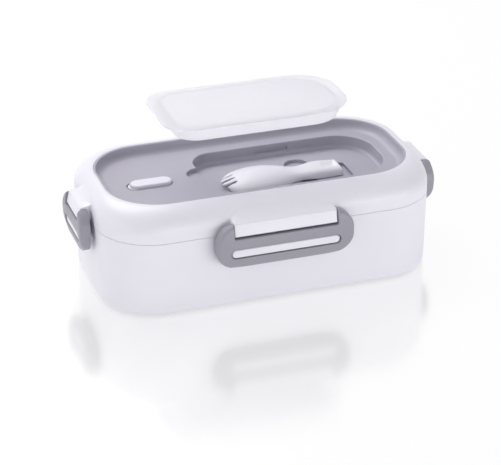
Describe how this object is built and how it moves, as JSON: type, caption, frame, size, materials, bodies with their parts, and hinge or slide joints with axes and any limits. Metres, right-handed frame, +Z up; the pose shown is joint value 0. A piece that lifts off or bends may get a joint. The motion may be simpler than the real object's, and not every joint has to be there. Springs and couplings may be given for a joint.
{
  "type": "electric lunch box",
  "caption": "Rounded heated lunch box with a lift-off lid held by snap latches, a steel food container, a spork in a lid recess under a frosted cover, and a steam vent.",
  "frame": {"origin": "middle of the box on the plane that its feet stand on", "axes": "+X along the box to the right as seen from the front latch side, +Y to the back, +Z up"},
  "size_m": [0.264, 0.1544, 0.122],
  "materials": {
    "white_plastic": "satin white polypropylene",
    "liner_plastic": "satin",
    "grey_plastic": "satin grey polypropylene",
    "latch_plastic": "satin grey",
    "spork_plastic": "satin white",
    "frosted_plastic": "frosted translucent plastic",
    "container_steel": "brushed stainless steel",
    "plate_aluminium": "satin",
    "clamp_steel": "zinc plated",
    "screw_steel": "zinc plated",
    "element_case": "extruded",
    "thermostat_case": "phenolic",
    "fuse_case": "ceramic",
    "insulation_felt": "felt",
    "inlet_plastic": "matte black",
    "pin_brass": "nickel plated brass",
    "wire_jacket": "silicone jacket",
    "silicone": "translucent silicone",
    "foot_rubber": "matte grey"
  },
  "bodies": {
    "base": {"base_shell": "white_plastic", "base_liner": "liner_plastic", "bottom_cover": "white_plastic", "bottom_screws": "screw_steel", "rubber_feet": "foot_rubber", "heater_plate": "plate_aluminium", "heater_seal": "silicone", "ptc_elements": "element_case", "element_clamp": "clamp_steel", "clamp_screws": "screw_steel", "thermostat": "thermostat_case", "thermal_fuse": "fuse_case", "insulation_pad": "insulation_felt", "power_inlet": "inlet_plastic", "inlet_pins": "pin_brass", "lead_wires": "wire_jacket"},
    "container": {"food_container": "container_steel"},
    "lid": {"lid_shell": "white_plastic", "lid_panel": "grey_plastic", "lid_inner": "liner_plastic", "lid_gasket": "silicone", "latch_pins_long": "screw_steel", "latch_pins_short": "screw_steel", "vent_pin": "screw_steel"},
    "latch_front": {"latch_front": "latch_plastic"},
    "latch_back": {"latch_back": "latch_plastic"},
    "latch_left": {"latch_left": "latch_plastic"},
    "latch_right": {"latch_right": "latch_plastic"},
    "vent_flap": {"vent_flap": "white_plastic", "vent_stopper": "silicone"},
    "spork": {"spork": "spork_plastic"},
    "cutlery_cover": {"cutlery_cover": "frosted_plastic"}
  },
  "joints": [
    {"name": "container_lift", "type": "slide", "parent": "base", "child": "container", "axis": [0, 0, 1], "range_m": [0, 0.06]},
    {"name": "lid_lift", "type": "slide", "parent": "container", "child": "lid", "axis": [0, 0, 1], "range_m": [0, 0.06]},
    {"name": "latch_front_swing", "type": "hinge", "parent": "lid", "child": "latch_front", "pos_m": [0, -0.0727, 0.0625], "axis": [-1, 0, 0], "range_deg": [-5, 105]},
    {"name": "latch_back_swing", "type": "hinge", "parent": "lid", "child": "latch_back", "pos_m": [0, 0.0727, 0.0625], "axis": [1, 0, 0], "range_deg": [-5, 105]},
    {"name": "latch_left_swing", "type": "hinge", "parent": "lid", "child": "latch_left", "pos_m": [-0.12745, 0, 0.0625], "axis": [0, 1, 0], "range_deg": [-5, 105]},
    {"name": "latch_right_swing", "type": "hinge", "parent": "lid", "child": "latch_right", "pos_m": [0.12745, 0, 0.0625], "axis": [0, -1, 0], "range_deg": [-5, 105]},
    {"name": "vent_flap_tilt", "type": "hinge", "parent": "lid", "child": "vent_flap", "pos_m": [-0.08805, -0.0025, 0.0694], "axis": [0, -1, 0], "range_deg": [0, 65]},
    {"name": "spork_lift", "type": "slide", "parent": "lid", "child": "spork", "axis": [0, 0, 1], "range_m": [0, 0.06]},
    {"name": "cover_lift", "type": "slide", "parent": "spork", "child": "cutlery_cover", "axis": [-0.533, 0, 0.8461], "range_m": [-0.059, 0]}
  ]
}
